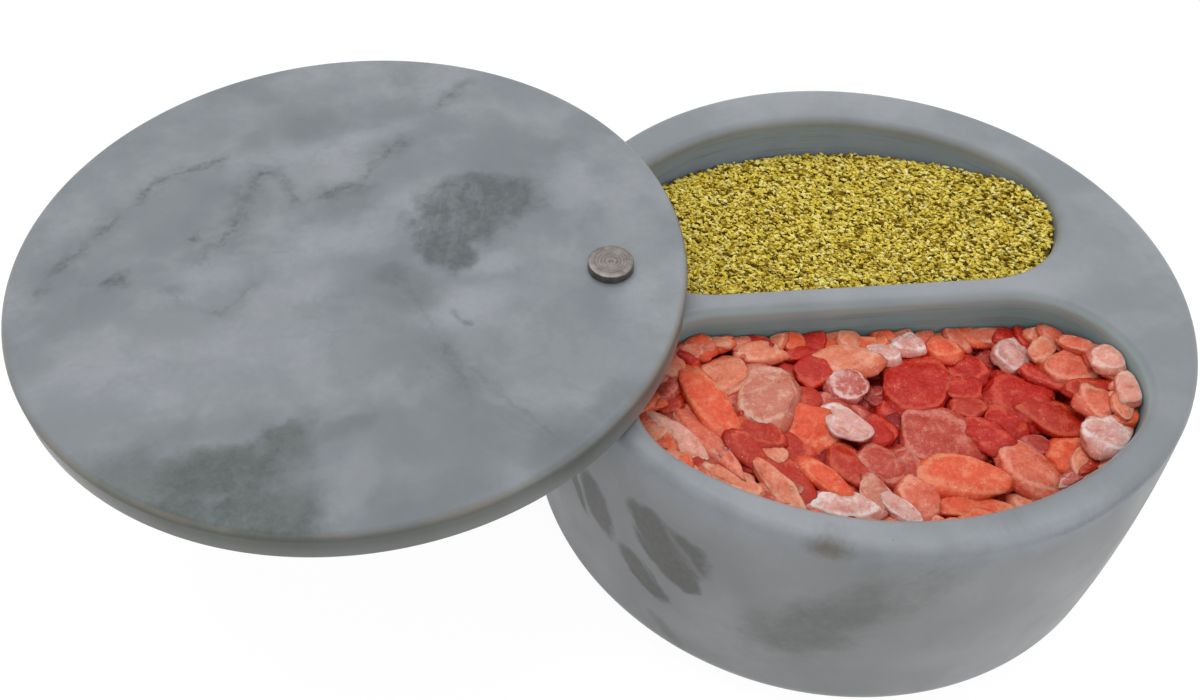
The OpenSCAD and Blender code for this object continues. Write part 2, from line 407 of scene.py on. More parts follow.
lidPatches = [
    blot([(-135, -22, 18, 7, 2), (-111, -15, 19, 9, 9), (-104, 5, 9, 14, -5), (-93, 20, 12, 7, 50)], milky,
         0.28, 9, core=0.2),
    blot([(-73, -6, 15, 5, 35), (-84, 12, 3, 16, 10), (-100, 42, 22, 4, 20)], milky, 0.45, 7, core=0.2),
    blot([(-133, 24, 15, 10, 49), (-118, 22, 6, 8, -5), (-145, -4, 9, 6, -5)], grey, 0.6, 8),
    blot([(-108, 49, 11, 10, -13), (-119, 43, 6, 4, 40)], (112, 119, 122), 0.6, 8, core=0.1),
    blot([(-98, 24, 8, 6, 11)], (108, 115, 118), 0.6, 5),
    blot([(-88, -3, 8, 9, -42), (-79, -24, 16, 8, -51), (-68, -37, 21, 8, -32)], (108, 115, 118), 0.6, 8,
         streaks=(-42, 14, 3.5, 0.6)),
    blot([(-83, -38, 19, 10, -31), (-92, -45, 7, 11, -5)], (118, 125, 129), 0.65, 9),
    blot([(-82, -50, 14, 6, 12), (-63, -42, 12, 5, 38), (-52, -32, 8, 4, 45)], (110, 116, 119), 0.7, 8,
         core=0.2),
    blot([(-62, 38, 16, 9, -50)], (118, 125, 128), 0.3, 9),
    blot([(-44, 7, 9, 12, -4), (-51, -20, 9, 9, -5)], (148, 153, 158), 0.45, 7),
    blot([(-61, -22, 14, 9, -30)], (128, 134, 138), 0.6, 7),
    blot([(-141, -30, 14, 12, 0), (-129, -8, 11, 7, 0), (-92, -17, 13, 9, 0), (-75, -17, 8, 7, 0),
          (-64, 57, 16, 8, -35), (-129, 45, 10, 7, 30)], (118, 124, 129), 0.52, 8, core=0.25),
    blot([(-119.5, 60, 10, 6, -10), (-117, -32.5, 18, 5, 4)], (112, 119, 121), 0.6, 7, core=0.2),
    blot([(-100, 12, 14, 6, 0), (-123, 4, 9, 6, 0), (-54, 24, 6, 12, 0)], (166, 169, 177), 0.5, 7, core=0.2),
    blot([(-45, -8, 6, 10, 0), (-70, 3, 8, 4, 10)], (166, 171, 176), 0.5, 7, core=0.2),
    blot([(-90, 2, 4, 4, 0)], dark, 0.4, 3),
    blot([(-73, 21.5, 12.5, 8.5, -5), (-78, 15, 9.5, 10.5, -5), (-78.5, 7, 6, 6.5, -4),
          (-67, 21.5, 7.5, 7.5, 0), (-72.5, 15, 7.5, 6, 25), (-82, 11, 4.5, 6, 0)], dark, 0.95, 5, ragged=1.0,
         core=0.55, mottle=0.15, streaks=(82, 9, 2.6, 0.72), dense=0.04),
    blot([(-131, -42, 12, 7, -14), (-122, -41, 16, 5, 5)], (92, 102, 99), 0.75, 7, ragged=1.1, core=0.4,
         mottle=0.1),
    blot([(-115, -42.5, 13, 7, 0), (-107, -36, 5.5, 5, -4), (-113, -50, 13, 5, -5), (-108, -51, 12, 8, -5),
          (-122, -49.5, 11, 4.5, 0)], green, 0.96, 6, ragged=1.0, core=0.5, mottle=0.15,
         streaks=(80, 12, 5, 0.85)),
    blot([(-98, -34, 9, 2.5, 20), (-104, -40, 4, 14, -8)], (104, 112, 112), 0.55, 4),
    blot([(-95, -45, 4, 10, -10)], (146, 149, 154), 0.55, 5),
]
lidVeins = [    # path, width, reach of the halo, strength
    ([(-154, 2), (-152, 8), (-146, 16), (-140, 26), (-137, 32), (-124, 38)], 1.1, 4.8, 0.75),
    ([(-116, 33), (-118, 27), (-119, 21), (-122, 14), (-125, 9)], 1.3, 5.5, 0.8),
    ([(-116, 33), (-112, 32), (-108, 23)], 0.9, 3, 0.6),
    ([(-103, 25), (-96, 28), (-91.5, 36), (-88.5, 40)], 1.4, 5, 0.85),
    ([(-82, 51), (-77, 57), (-74, 60)], 1.2, 4, 0.7),
    ([(-130, 1), (-127, -4), (-120, -6), (-115, 1)], 0.7, 3.6, 0.45),
    ([(-88, 1), (-80, -18), (-76, -30)], 0.7, 4, 0.4),
    ([(-80, -18), (-62, -39)], 0.7, 4, 0.4),
    ([(-142, 3.5), (-139.5, 5)], 1.6, 2, 0.9),
    ([(-128.2, 14.5), (-127.2, 15)], 1.1, 1.4, 0.8),
    ([(-78, -9), (-76, -12)], 0.8, 1.4, 0.6),
]
lidLook = {
    "across": flatAcross, "marksAndPaintedLight": lidShadeAndStain, "seed": (13, 4, 0), "shake": 3.4,
    "driftSize": 24, "cloudSize": 30, "puffSize": 15, "webSize": 13,
    "deep": srgb(124, 130, 135), "pale": srgb(148, 152, 157), "milk": srgb(156, 159, 165), "milkiness": 0.4,
    "veinColour": srgb(84, 91, 93), "rough": 0.36,
    "patches": lidPatches, "veins": lidVeins,
}

bowlPatches = [
    # milky patches; the blob at -145, 51, high on the front-left wall under the lid, is also painted light that
    # lifts the lid's shadow there
    blot([(-82, 56, 20, 6, 0), (-133, 28, 5, 10, 10), (-145, 51, 16, 6, 0), (-170, 14, 18, 9, 0),
          (-143, 15, 9, 5, 0)], (168, 172, 180), 0.6, 9, core=0.2),
    blot([(-119, 30, 12, 9, 38), (-114, 36, 12, 8, 48)], (66, 78, 73), 0.95, 7, ragged=1.3, core=0.3,
         streaks=(34, 9, 5, 0.75), mottle=0.15),
    blot([(-106, 44, 15, 9, 42), (-122, 26, 13, 11, 20)], (88, 98, 95), 0.66, 6, ragged=1.5, core=0.15,
         streaks=(40, 9, 4, 0.6), mottle=0.3),
    blot([(-149, 40, 7.5, 4.4, -22), (-143.5, 37.5, 6, 5.6, -50), (-147, 34, 8.5, 3.8, -38),
          (-142, 31.5, 4, 3.4, -50), (-150.5, 24.6, 7.2, 3.2, -36)], (40, 51, 46), 0.97, 4, ragged=0.7,
         core=0.75, streaks=(-40, 30, 3, 0.4), dense=0.1),
    blot([(-163.9, 33.6, 8.2, 3.9, -52), (-170.5, 32, 7, 1.6, -50)], (50, 60, 56), 0.95, 4, ragged=0.7,
         core=0.7),
    blot([(-144, 10.5, 6, 2.2, -38)], (78, 88, 82), 0.55, 3),
    blot([(-119.8, 53.6, 5.5, 2.6, 0)], (108, 100, 84), 0.8, 2.5, core=0.15),
    blot([(-106, 14, 26, 8, 0), (-90, 33, 14, 10, 0), (-60, 22, 12, 14, 0)], (122, 127, 129), 0.42, 8),
    # the sides away from the camera, in the same manner
    blot([(64, 28, 20, 8, 28), (84, 38, 12, 7, 15), (150, 22, 16, 7, -25)], (96, 105, 104), 0.7, 7, ragged=1.4,
         core=0.2, streaks=(30, 10, 4, 0.6)),
    blot([(112, 40, 16, 8, 10), (24, 18, 20, 9, 20), (-24, 36, 12, 8, 0)], (170, 173, 179), 0.6, 9, core=0.2),
    blot([(4, 34, 9, 4.5, -40), (8, 27, 7, 3.2, -38)], (64, 74, 70), 0.85, 4, ragged=0.9, core=0.5,
         streaks=(-40, 30, 3, 0.4)),
]
bowlVeins = [
    ([(-48, 44), (-60, 34), (-76, 22)], 0.9, 3.5, 0.4),
    ([(-102, 57), (-90, 56.5), (-78, 54), (-70, 55), (-58, 55)], 0.5, 1.8, 0.4),
    ([(18, 46), (36, 36), (52, 40), (76, 24), (98, 14)], 1, 4, 0.6),
    ([(104, 50), (122, 36), (138, 40), (168, 24)], 1, 4, 0.6),
    ([(-30, 20), (-14, 12), (6, 14)], 0.8, 3.5, 0.5),
]
bowlLook = {
    "across": wallAcross, "gate": outerWall, "marksAndPaintedLight": bowlMarksAndPaintedLight, "seed": (0, 21, 7), "shake": 1.6,
    "driftSize": 22, "cloudSize": 36, "puffSize": 17, "webSize": 15,
    "deep": srgb(137, 142, 146), "pale": srgb(156, 160, 165), "milk": srgb(165, 168, 174), "milkiness": 0.35,
    "veinColour": srgb(100, 104, 104), "rough": 0.4,
    "patches": bowlPatches, "veins": bowlVeins,
}

lidMarble = marble("lidMarble", lidLook)
bowlMarble = marble("bowlMarble", bowlLook)
print("marble mixed")


# Turning and cutting stone

def meshPiece(name, points, faces, material):
    mesh = bpy.data.meshes.new(name)
    mesh.from_pydata([tuple(p) for p in points], [], faces)
    mesh.validate()
    piece = bpy.data.objects.new(name, mesh)
    scene.collection.objects.link(piece)
    mesh.materials.append(material)
    return piece


def angles(a, b, n):    # n + 1 of them from a to b degrees, in radians
    return [math.radians(a + (b - a) * i / n) for i in range(n + 1)]


def arc(cx, cy, r, a, b, n):
    return [(cx + r * math.cos(t), cy + r * math.sin(t)) for t in angles(a, b, n)]


def lathe(name, outline, material, cx=0.0, cy=0.0, around=48):
    # outline runs from the axis out and back to it, in metres: (radius, height)
    points, rows = [], []
    for r, z in outline:
        steps = around if r > 1e-7 else 1    # a point on the axis is there once
        rows.append([len(points) + i % steps for i in range(around)])
        for i in range(steps):
            turn = 2 * math.pi * i / around
            points.append((cx + r * math.cos(turn), cy + r * math.sin(turn), z))
    faces = []
    for low, high in zip(rows, rows[1:]):
        for i in range(around):
            j = (i + 1) % around
            face = [low[i], low[j], high[j], high[i]]
            faces.append([v for k, v in enumerate(face) if v not in face[:k]])
    return meshPiece(name, points, faces, material)


def loft(name, rings, material):
    n = len(rings[0])
    points = [p for ring in rings for p in ring]
    faces = [list(range(n))[::-1], [(len(rings) - 1) * n + i for i in range(n)]]
    for k in range(len(rings) - 1):
        for i in range(n):
            j = (i + 1) % n
            faces.append([k * n + i, k * n + j, (k + 1) * n + j, (k + 1) * n + i])
    return meshPiece(name, points, faces, material)


def tidyNormals(piece):
    bm = bmesh.new()
    bm.from_mesh(piece.data)
    bmesh.ops.recalc_face_normals(bm, faces=bm.faces)
    bm.to_mesh(piece.data)
    bm.free()


def cutAway(piece, tool):
    tidyNormals(tool)
    cut = piece.modifiers.new("cut", "BOOLEAN")
    cut.operation = "DIFFERENCE"
    cut.solver = "EXACT"
    cut.object = tool
    bpy.context.view_layer.objects.active = piece
    bpy.ops.object.modifier_apply(modifier=cut.name)
    bpy.data.objects.remove(tool)


def smooth(piece):
    piece.data.polygons.foreach_set("use_smooth", [True] * len(piece.data.polygons))


def roundTool(radius, low, high, material, x=0.0, y=0.0, around=48):
    return lathe("roundTool", [(0, low), (radius, low), (radius, high), (0, high)], material, x, y, around)


def polish(piece, sharpest=38):
    smooth(piece)
    piece.data.set_sharp_from_angle(angle=math.radians(sharpest))
    even = piece.modifiers.new("even", "WEIGHTED_NORMAL")
    even.keep_sharp = True
    even.weight = 100


bowlSize = {
    "rim": 62.0 * mm, "base": 63.5 * mm, "swell": 0.8 * mm,
    "rimRound": 2.2 * mm, "baseRound": 7.2 * mm,
    "bore": 4.03 * mm, "boreDeep": 22.4 * mm,
    "recess": 48.25 * mm, "recessDeep": 0.8 * mm,
}
pockets = {
    "middle": -1.0 * mm, "deep": 44.0 * mm, "floorRound": 8.0 * mm,
    "lip": 2.0 * mm, "lipStart": 4,    # where the lip leaves the rim, in degrees
    "rear": {"side": 1, "wall": -1.1 * mm, "reach": 50.5 * mm, "arc": 55.5 * mm, "corner": 20.0 * mm},
    "front": {"side": -1, "wall": 6.5 * mm, "reach": 55.0 * mm, "arc": 60.0 * mm, "corner": 19.0 * mm},
}


def pocketCorner(spec):    # where the bowed wall and the round corners have their middles
    arcY = spec["reach"] - spec["wall"] - spec["arc"]
    corner = spec["corner"]
    cornerX = math.sqrt((spec["arc"] - corner) ** 2 - (corner - arcY) ** 2)
    return arcY, corner, cornerX, math.atan2(corner - arcY, cornerX)


def pocketOutline(spec, inset, around=1.0, straight=0):
    # the pocket's wall line seen from above, drawn in by inset; around sets how many points,
    # straight how many more along the divider
    arcY, corner, cornerX, meet = pocketCorner(spec)
    meet = math.degrees(meet)
    nCorner, nArc = int(30 * around), int(56 * around)
    line = arc(cornerX, corner, corner - inset, -90, meet, nCorner)
    line += arc(0, arcY, spec["arc"] - inset, meet, 180 - meet, nArc)[1:-1]
    line += arc(-cornerX, corner, corner - inset, 180 - meet, 270, nCorner)
    line += [(cornerX * (2 * i / (straight + 1) - 1), inset) for i in range(1, straight + 1)]
    return [(pockets["middle"] + x, spec["side"] * (spec["wall"] + y)) for x, y in line]


def pocketCutter(spec):
    lip, floorRound, deep = pockets["lip"], pockets["floorRound"], pockets["deep"]
    steps = [(-lip, 3 * over)]
    steps += [(lip * (math.sin(t) - 1), lip * (math.cos(t) - 1)) for t in angles(pockets["lipStart"], 90, 9)]
    steps += [(floorRound * (1 - math.cos(t)), floorRound * (1 - math.sin(t)) - deep) for t in angles(0, 90, 12)]
    rings = [[(x, y, rimZ + z) for x, y in pocketOutline(spec, inset)] for inset, z in steps]
    return loft("pocketTool", rings, bowlMarble)


def makeBowl():
    s = bowlSize
    low, top = bowlLow.z + s["baseRound"], rimZ - s["rimRound"]
    outline = [(0, bowlLow.z)] + arc(s["base"] - s["baseRound"], low, s["baseRound"], -90, 0, 14)
    for t in [i / 16 for i in range(1, 16)]:
        bulge = s["swell"] * 4 * t * (1 - t)
        outline.append((s["base"] + (s["rim"] - s["base"]) * t + bulge, low + (top - low) * t))
    outline += arc(s["rim"] - s["rimRound"], top, s["rimRound"], 0, 90, 10) + [(0, rimZ)]
    bowl = lathe("bowlStone", outline, bowlMarble, around=224)
    tidyNormals(bowl)
    for name in ("rear", "front"):
        cutAway(bowl, pocketCutter(pockets[name]))
    cutAway(bowl, roundTool(s["bore"], rimZ - s["boreDeep"], rimZ + over, bowlMarble, pinX, pinY))
    cutAway(bowl, roundTool(s["recess"], bowlLow.z - over, bowlLow.z + s["recessDeep"], bowlMarble, around=128))
    polish(bowl)
    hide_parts("bowl")
    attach(bowl, "base")
    return bowl


bowlStone = makeBowl()
print("bowl turned and cut", len(bowlStone.data.polygons))


lidSize = {"topRound": 1.5 * mm, "lowRound": 0.6 * mm, "bore": 3.33 * mm}


def makeLid():
    s = lidSize
    middle = (lidLow + lidTop) / 2
    edge = (lidTop.x - lidLow.x) / 2
    outline = [(0, lidLow.z)] + arc(edge - s["lowRound"], lidLow.z + s["lowRound"], s["lowRound"], -90, 0, 8)
    outline += arc(edge - s["topRound"], lidTop.z - s["topRound"], s["topRound"], 0, 90, 10) + [(0, lidTop.z)]
    lid = lathe("lidStone", outline, lidMarble, middle.x, middle.y, 256)
    tidyNormals(lid)
    cutAway(lid, roundTool(s["bore"], lidLow.z - over, lidTop.z + over, lidMarble, pinX, pinY))
    polish(lid)
    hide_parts("lid")
    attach(lid, "cover")


makeLid()
print("lid turned")


# Pivot: turned pin, nylon parts and the pad underneath

def turnedSteel():
    f = Finish("turnedSteel")
    local = f.vector("SUBTRACT", f.place, (pinX / mm, pinY / mm, 0))
    lines = f.noise(f.vector("SCALE", (1, 0, 0), scale=f.far(local)), 0.09, 3, 0.6)
    cloudy = f.noise(f.place, 2.0, 4, 0.6)
    tone = f.mix(f.step(cloudy, 0.3, 0.7), srgb(110, 104, 100), srgb(135, 130, 126))
    tone = f.mix(f.step(lines, 0.35, 0.7, 0, 0.4), tone, srgb(86, 79, 73))
    rough = f.step(cloudy, 0.3, 0.7, 0.28, 0.42)
    f.set(Base_Color=tone, Metallic=1.0, Roughness=rough, Normal=f.bump(lines, 0.012))
    return f.material


def speckled(name, size, crumbs, low, high, depth, **shader):
    f = Finish(name)
    speckle = f.noise(f.place, size, 4, crumbs)
    f.set(Base_Color=f.mix(f.step(speckle, 0.3, 0.7), low, high), Normal=f.bump(speckle, depth), **shader)
    return f.material


def padFinish():
    f = Finish("padFoam")
    cells = f.cells(f.place, 0.55)
    slow = f.noise(f.place, 7.0, 3)
    tone = f.mix(f.step(slow, 0.3, 0.7), srgb(38, 38, 40), srgb(52, 52, 55))
    tone = f.mix(f.step(cells, 0.05, 0.4, 0.5, 0.0), tone, srgb(22, 22, 24))
    f.set(Base_Color=tone, Roughness=0.86, Normal=f.bump(cells, 0.08))
    return f.material


steel = turnedSteel()
nylon = speckled("naturalNylon", 0.6, 0.6, srgb(216, 213, 203), srgb(228, 226, 218), 0.01, Roughness=0.52)
foam = padFinish()

pinSize = {
    "shank": 2.5 * mm, "tip": 0.6 * mm, "head": (pinTop.x - pinLow.x) / 2, "thick": 1.7 * mm,
    "chamfer": 0.28 * mm, "lowEdge": 0.15 * mm, "ringFloor": 0.4,    # share of a ring's width that is flat
    "rings": 4, "ringFirst": 1.2 * mm, "ringPitch": 0.62 * mm, "ringWide": 0.3 * mm, "ringDeep": 0.07 * mm,
    "dimple": 0.45 * mm, "dimpleDeep": 0.4 * mm,
}


def makePin():
    s = pinSize
    top = pinTop.z
    under = top - s["thick"]
    outline = [(0, pinLow.z), (s["shank"] - s["tip"], pinLow.z), (s["shank"], pinLow.z + s["tip"])]
    outline += [(s["shank"], under), (s["head"] - s["lowEdge"], under), (s["head"], under + s["lowEdge"])]
    outline += arc(s["head"] - s["chamfer"], top - s["chamfer"], s["chamfer"], 0, 90, 6)
    for i in reversed(range(s["rings"])):
        r = s["ringFirst"] + i * s["ringPitch"]
        half = s["ringWide"] / 2
        for out, deep in ((1, 0), (s["ringFloor"], 1), (-s["ringFloor"], 1), (-1, 0)):
            outline.append((r + half * out, top - s["ringDeep"] * deep))
    outline += [(s["dimple"], top), (s["dimple"] * 0.5, top - s["dimpleDeep"] * 0.75), (0, top - s["dimpleDeep"])]
    pin = lathe("pinTurned", outline, steel, pinX, pinY, 96)
    tidyNormals(pin)
    polish(pin, 30)
    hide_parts("pivot_pin")
    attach(pin, "base")


makePin()
plain = {"lid_bushing": nylon, "anchor_sleeve": nylon, "spacer_washer": nylon, "base_pad": foam}
for name, finish in plain.items():
    node = frame["nodes"][name]
    node.data.materials.clear()
    node.data.materials.append(finish)
    for face in node.data.polygons:
        face.material_index = 0
print("pivot and pad finished")


# What the pockets hold

def heap(x, v):    # how much the right end is heaped, in millimetres
    start, end = v["from"] * mm, v["to"] * mm
    t = min(max((x - start) / (end - start), 0), 1)
    return v["rise"] * (t * t * (3 - 2 * t))


levels = {    # in millimetres from the rim and from the middle
    "seasoning": {"start": -9.2, "hollow": 0.0022, "lowest": -5, "rise": 2, "from": 32, "to": 46},
    "salt": {"start": -7.0, "slope": -0.055, "rise": 5.8, "from": 24, "to": 48},
}


def seasoningLevel(x):    # lowest in the middle, heaped at the right end
    v = levels["seasoning"]
    return rimZ + (v["start"] + v["hollow"] * (x / mm - v["lowest"]) ** 2 + heap(x, v)) * mm


def saltLevel(x):
    v = levels["salt"]
    return rimZ + (v["start"] + v["slope"] * x / mm + heap(x, v)) * mm


def keepInside(spec, inset, xy):
    # moves any of the points (x, y) that lies beyond the pocket's outline, drawn in by inset, onto it
    arcY, corner, cornerX, meet = pocketCorner(spec)
    u, v = xy[:, 0] - pockets["middle"], xy[:, 1] * spec["side"] - spec["wall"]
    side = np.sign(u)
    onArc = np.arctan2(v - arcY, abs(u)) > meet
    onCorner = ~onArc & (abs(u) > cornerX)
    cx = np.where(onCorner, side * cornerX, 0)
    cy = np.where(onCorner, corner, arcY)
    most = np.where(onCorner, corner, spec["arc"]) - inset
    off = np.hypot(u - cx, v - cy)
    share = np.where((onArc | onCorner) & (off > most), most / off, 1)
    u, v = cx + (u - cx) * share, cy + (v - cy) * share
    return np.stack([u + pockets["middle"], spec["side"] * (np.maximum(v, inset) + spec["wall"])], 1)


def scatter(rng, spec, inset, count, right=1.0):
    # evenly random places inside a pocket, as far as right
    xs, ys = zip(*pocketOutline(spec, 0))
    tries = rng.uniform((min(xs), min(ys)), (min(right, max(xs)), max(ys)), (count * 3, 2))
    kept = tries[abs(keepInside(spec, inset, tries) - tries).sum(1) < 1e-7]
    return kept[:count]


def ballMesh(subdivisions):
    bm = bmesh.new()
    bmesh.ops.create_icosphere(bm, subdivisions=subdivisions, radius=1.0)
    points = np.array([v.co for v in bm.verts])
    faces = np.array([[v.index for v in f.verts] for f in bm.faces])
    bm.free()
    return points, faces


fillDetail = {"around": 0.6, "straight": 24}


def makeFill(name, spec, level, material, under):
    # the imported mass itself: from the pocket's floor up to its level surface
    gap = 0.3 * mm
    floorRound, deep = pockets["floorRound"], pockets["deep"]
    steps = [(gap + floorRound * (1 - math.cos(t)), floorRound * (1 - math.sin(t)) - deep + gap)
             for t in angles(0, 90, 6)[::-1]]
    rings = [[(x, y, rimZ + z) for x, y in pocketOutline(spec, inset, **fillDetail)] for inset, z in steps]
    edge = pocketOutline(spec, gap, **fillDetail)
    rings.append([(x, y, level(x) - under) for x, y in edge])
    middleX, middleY = pockets["middle"], spec["side"] * (spec["wall"] + spec["reach"]) / 2
    for share in (0.85, 0.7, 0.5, 0.3, 0.1):
        inner = [(middleX + (x - middleX) * share, middleY + (y - middleY) * share) for x, y in edge]
        rings.append([(x, y, level(x) - under) for x, y in inner])
    fill = loft(name, rings, material)
    tidyNormals(fill)
    smooth(fill)
    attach(fill, "base")


def pointValues(piece, name, values, colour=False):    # numbers or colours that a finish reads
    layer = piece.data.attributes.new(name, "FLOAT_COLOR" if colour else "FLOAT", "POINT")
    layer.data.foreach_set("color" if colour else "value", values.astype(np.float32).ravel())


def seasoningFinish(name, loose):
    f = Finish(name)
    pick = f.attribute("tone") if loose else f.noise(f.place, 0.7, 3, 0.7)
    tone = f.ramp(pick, [(0.0, srgb(62, 40, 6)), (0.2, srgb(140, 108, 22)), (0.42, srgb(218, 192, 64)),
                         (0.72, srgb(244, 226, 104)), (1.0, srgb(252, 244, 172))])
    clumps = f.step(f.noise(f.place, 3.2, 4, 0.65), 0.44, 0.3, 0, 0.4)
    tone = f.mix(clumps, tone, srgb(120, 90, 26))
    # painted shade: the bed under the flakes is darkened, for the shade in the gaps between them
    if not loose:
        tone = f.mix(0.8, tone, srgb(62, 42, 8))
    fleck = f.noise(f.place, 0.35, 2)
    f.set(Base_Color=tone, Roughness=0.8, Specular_IOR_Level=0.1, Normal=f.bump(fleck, 0.08))
    return f.material


seasoning = {
    "count": 19800, "seed": 11, "under": 1.25 * mm, "inset": 0.5 * mm,
    "length": (0.4 * mm, 0.84 * mm), "width": (0.36, 0.64), "flat": 0.44, "uneven": (0.75, 1.15),
    "sides": 5, "bend": 0.2, "lean": -30, "stray": 0.7, "tip": 0.45, "tones": (1.95, 1.45),
    "calm": 1.7 * mm, "calmTip": 0.2, "calmDrop": 0.3 * mm,    # by the wall they lie flat and lower
}


def flakeMesh(sides, bend):    # a sliver pointed at both ends
    turns = np.arange(sides) * 2 * math.pi / sides
    ring = np.stack([bend * np.sin(2 * turns), np.cos(turns), np.sin(turns)], 1)
    points = np.concatenate([ring, [[1, 0, 0], [-1, 0, 0]]])
    after = (np.arange(sides) + 1) % sides
    right = np.stack([np.arange(sides), after, np.full(sides, sides)], 1)
    left = np.stack([after, np.arange(sides), np.full(sides, sides + 1)], 1)
    return points, np.concatenate([right, left])


def makeSeasoning():
    s = seasoning
    spec = pockets["rear"]
    makeFill("seasoningBed", spec, seasoningLevel, seasoningFinish("seasoningBedShade", False), s["under"])
    rng = np.random.default_rng(s["seed"])
    places = scatter(rng, spec, s["inset"], s["count"])
    n = len(places)
    flake, flakeFaces = flakeMesh(s["sides"], s["bend"])
    byWall = abs(keepInside(spec, s["calm"], places) - places).sum(1) > 0
    length = rng.uniform(*s["length"], (n, 1))
    size = np.stack([length, length * rng.uniform(*s["width"], (n, 1)), length * s["flat"]], 2)
    flakes = flake * size * rng.uniform(*s["uneven"], (n, len(flake), 1))
    tip, turn = rng.normal(0, s["tip"], (n, 1)), math.radians(s["lean"]) + rng.normal(0, s["stray"], (n, 1))
    tip = np.where(byWall[:, None], s["calmTip"], 1) * tip
    x, y, z = flakes[..., 0], flakes[..., 1], flakes[..., 2]
    y, z = y * np.cos(tip) - z * np.sin(tip), y * np.sin(tip) + z * np.cos(tip)
    x, y = x * np.cos(turn) - y * np.sin(turn), x * np.sin(turn) + y * np.cos(turn)
    lift = np.array([seasoningLevel(at) for at in places[:, 0]]) + rng.uniform(-s["under"], 0, n)
    lift -= np.where(byWall, s["calmDrop"], 0)
    points = np.stack([x + places[:, :1], y + places[:, 1:], z + lift[:, None]], 2).reshape(-1, 3)
    faces = (flakeFaces + len(flake) * np.arange(n)[:, None, None]).reshape(-1, 3)
    grains = meshPiece("seasoningGrains", points.tolist(), faces.tolist(),
                       seasoningFinish("seasoningFlakes", True))
    pointValues(grains, "tone", np.repeat(rng.beta(*s["tones"], n), len(flake)))
    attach(grains, "base")


makeSeasoning()
print("seasoning heaped")


# Salt: listed crystals where the photograph shows them, loose ones elsewhere

saltTones = {    # body colour and the frosty colour of its thin edge
    "white": ((224, 168, 158), (248, 230, 224)),
    "glass": ((196, 98, 86), (240, 206, 200)),
    "pale": ((230, 160, 140), (246, 208, 194)),
    "peach": ((228, 132, 100), (242, 178, 150)),
    "tan": ((206, 126, 104), (236, 184, 164)),
    "salmon": ((224, 110, 82), (242, 164, 138)),
    "orange": ((232, 92, 54), (242, 150, 112)),
    "red": ((190, 28, 12), (222, 92, 68)),
    "brick": ((186, 42, 18), (216, 98, 68)),
    "rose": ((190, 70, 54), (224, 140, 122)),
    "mauve": ((174, 52, 42), (214, 120, 106)),
    "shade": ((140, 8, 3), (168, 34, 18)),
}

# place in the photograph, length and width there in pixels, lean in degrees, tone, how high it lies
saltPicks = [
    (677, 434, 74, 24, 34, "pale", 1), (711, 403, 112, 34, 56, "orange", 2), (706, 432, 108, 24, 50, "salmon", 1),
    (726, 370, 54, 38, 10, "peach", 2), (767, 392, 62, 54, 80, "tan", 3), (763, 348, 46, 20, 0, "peach", 1),
    (708, 343, 60, 14, -12, "orange", 0), (814, 367, 38, 26, 20, "red", 1), (844, 358, 70, 27, 4, "peach", 2),
    (848, 383, 38, 27, 10, "glass", 2), (844, 422, 48, 28, 50, "white", 3), (812, 423, 60, 48, 35, "orange", 2),
    (842, 403, 54, 22, 22, "rose", 0), (806, 396, 34, 26, 10, "brick", 0), (786, 442, 58, 26, 28, "brick", 0),
    (789, 474, 100, 32, 44, "brick", 1), (780, 484, 62, 22, 46, "peach", 2), (827, 478, 70, 20, 38, "orange", 2),
    (733, 476, 66, 18, 30, "peach", 1), (846, 504, 66, 26, 10, "white", 2), (856, 462, 60, 32, 38, "brick", 0),
    (884, 458, 54, 38, 20, "rose", 1), (877, 492, 42, 24, 55, "tan", 2), (877, 426, 42, 36, 0, "red", 0),
    (884, 350, 34, 22, 0, "white", 2), (908, 343, 34, 18, 4, "white", 2), (918, 378, 64, 58, 0, "red", 1),
    (943, 347, 36, 19, 18, "orange", 2), (992, 333, 46, 14, 0, "salmon", 1), (1015, 351, 38, 28, 12, "white", 3),
    (1043, 348, 28, 24, -45, "peach", 2), (1074, 363, 50, 27, 6, "salmon", 1), (1078, 341, 42, 14, 16, "salmon", 1),
    (1107, 358, 36, 22, 14, "pale", 3), (1130, 388, 34, 30, 80, "pale", 3), (1097, 399, 40, 27, 16, "salmon", 2),
    (1107, 433, 52, 37, 0, "white", 3), (1021, 392, 74, 44, 25, "red", 2), (966, 385, 38, 24, 4, "red", 1),
    (968, 403, 38, 20, 8, "brick", 0), (1006, 419, 48, 34, 36, "red", 1), (985, 432, 48, 25, 32, "red", 2),
    (1059, 413, 80, 30, 10, "brick", 1), (940, 433, 84, 52, 20, "rose", 1), (965, 475, 96, 38, 14, "orange", 3),
    (1031, 463, 76, 42, 30, "salmon", 3), (1069, 451, 42, 36, 10, "orange", 1), (1039, 440, 38, 14, 12, "mauve", 0),
    (904, 462, 44, 42, 0, "rose", 0), (921, 496, 54, 34, 60, "salmon", 1), (973, 503, 78, 20, 2, "orange", 0),
    (903, 508, 54, 18, 32, "white", 2), (1097, 458, 38, 14, -30, "brick", 0), (1076, 474, 40, 15, -28, "glass", 1),
    (1096, 382, 60, 24, 6, "brick", 0), (1131, 414, 28, 14, 0, "orange", 0), (800, 349, 40, 14, -6, "red", 0),
    (835, 340, 80, 12, -4, "orange", 0), (962, 360, 60, 24, 20, "red", 0), (1046, 372, 50, 16, 26, "red", 1),
    (760, 430, 48, 28, 35, "brick", 2), (750, 449, 50, 20, 42, "brick", 2),
    (690, 350, 38, 16, -15, "salmon", 1), (1124, 404, 30, 18, 60, "peach", 2),
]

